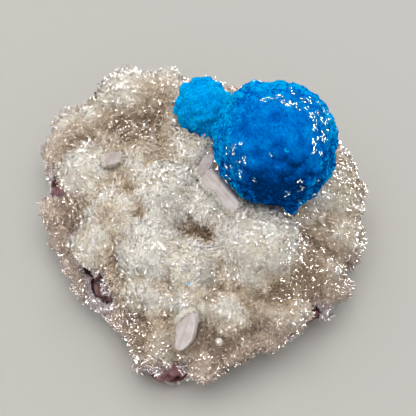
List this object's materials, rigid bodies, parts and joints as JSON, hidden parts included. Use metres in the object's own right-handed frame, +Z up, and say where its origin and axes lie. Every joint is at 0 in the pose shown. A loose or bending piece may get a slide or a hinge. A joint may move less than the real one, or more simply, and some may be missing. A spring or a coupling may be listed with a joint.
{
  "type": "cavansite mineral specimen",
  "caption": "Rounded blue cavansite balls grown on a druse of pale stilbite crystals over a lump of basalt, resting on its flat underside.",
  "frame": {"origin": "middle of the basalt's flat underside, where the specimen rests", "axes": "+Z up from the surface it rests on; +Y towards the rim behind the balls; +X towards the large ball's side"},
  "size_m": [0.0534, 0.0535, 0.0354],
  "materials": {
    "basalt": "rough, dark reddish grey, broken surface",
    "stilbite_druse": "glassy to pearly small crystals, creamy white on the mounds and tan in the recesses",
    "cavansite_deep_blue": "velvety radiating crystals with small bright glints, deep azure blue",
    "cavansite_sky_blue": "fine matte radiating crystals, lighter sky blue",
    "stilbite_tablet": "smooth pearly face with faint striations, slightly pink"
  },
  "bodies": {
    "root": {"basalt_matrix": "basalt", "stilbite_druse": "stilbite_druse", "cavansite_large_ball": "cavansite_deep_blue", "cavansite_small_ball": "cavansite_sky_blue", "stilbite_tablet_beside_ball": "stilbite_tablet", "stilbite_tablet_behind": "stilbite_tablet", "stilbite_tablet_left": "stilbite_tablet", "stilbite_tablet_near": "stilbite_tablet"}
  },
  "joints": []
}
